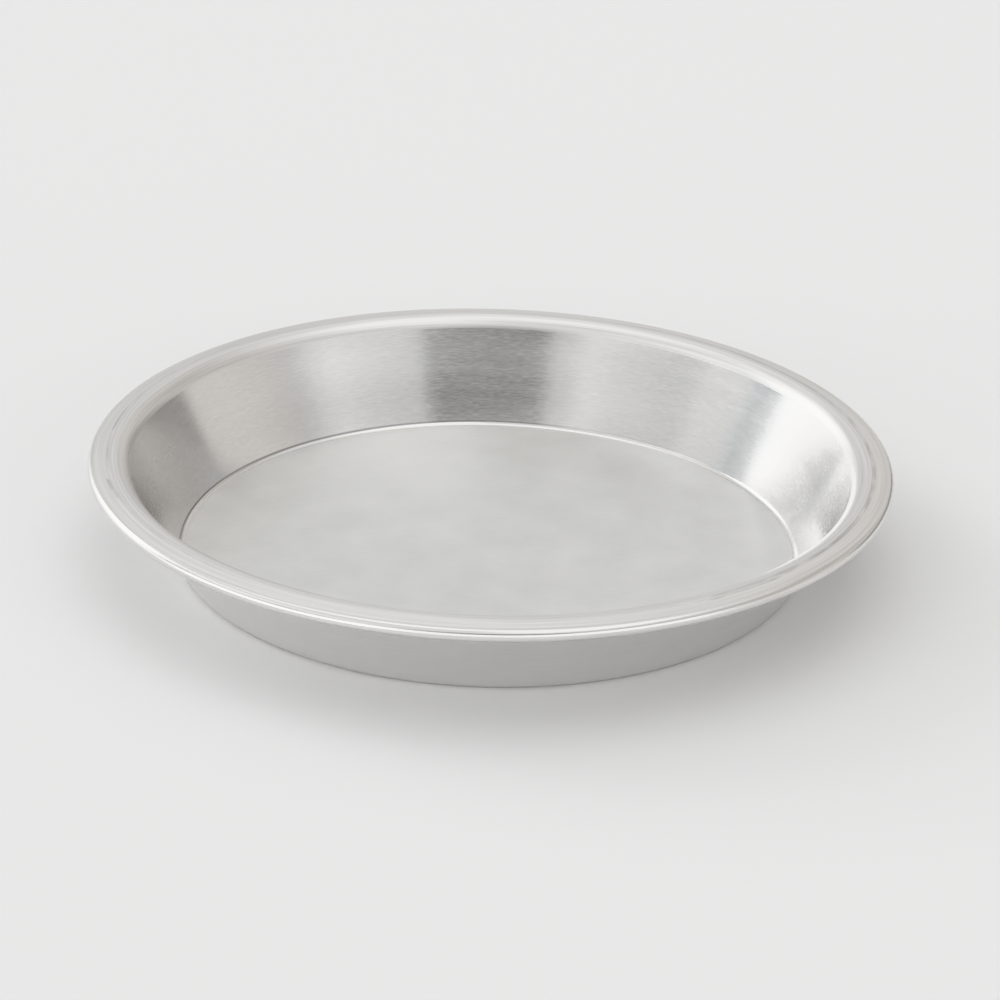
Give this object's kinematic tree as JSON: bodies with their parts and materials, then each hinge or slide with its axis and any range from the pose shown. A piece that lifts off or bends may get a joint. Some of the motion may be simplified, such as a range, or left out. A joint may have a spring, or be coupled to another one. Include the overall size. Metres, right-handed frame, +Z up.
{
  "type": "pie tin",
  "caption": "Round pie tin pressed from one sheet of satin aluminium: flat base, leaning wall, rounded shoulder, narrow flange that falls a little, and rolled-under edge.",
  "frame": {"origin": "centre of the underside of the base, on the table", "axes": "+Z up along the tin's axis of revolution, +X and +Y in the plane of the base; the tin is round, so any direction in that plane is the same"},
  "size_m": [0.23, 0.23, 0.0304],
  "materials": {
    "satin_aluminium": "satin base and flange, brightly burnished wall with fine rings from tooling, light scuffs on the flange"
  },
  "bodies": {
    "root": {"pie_tin": "satin_aluminium"}
  },
  "joints": []
}
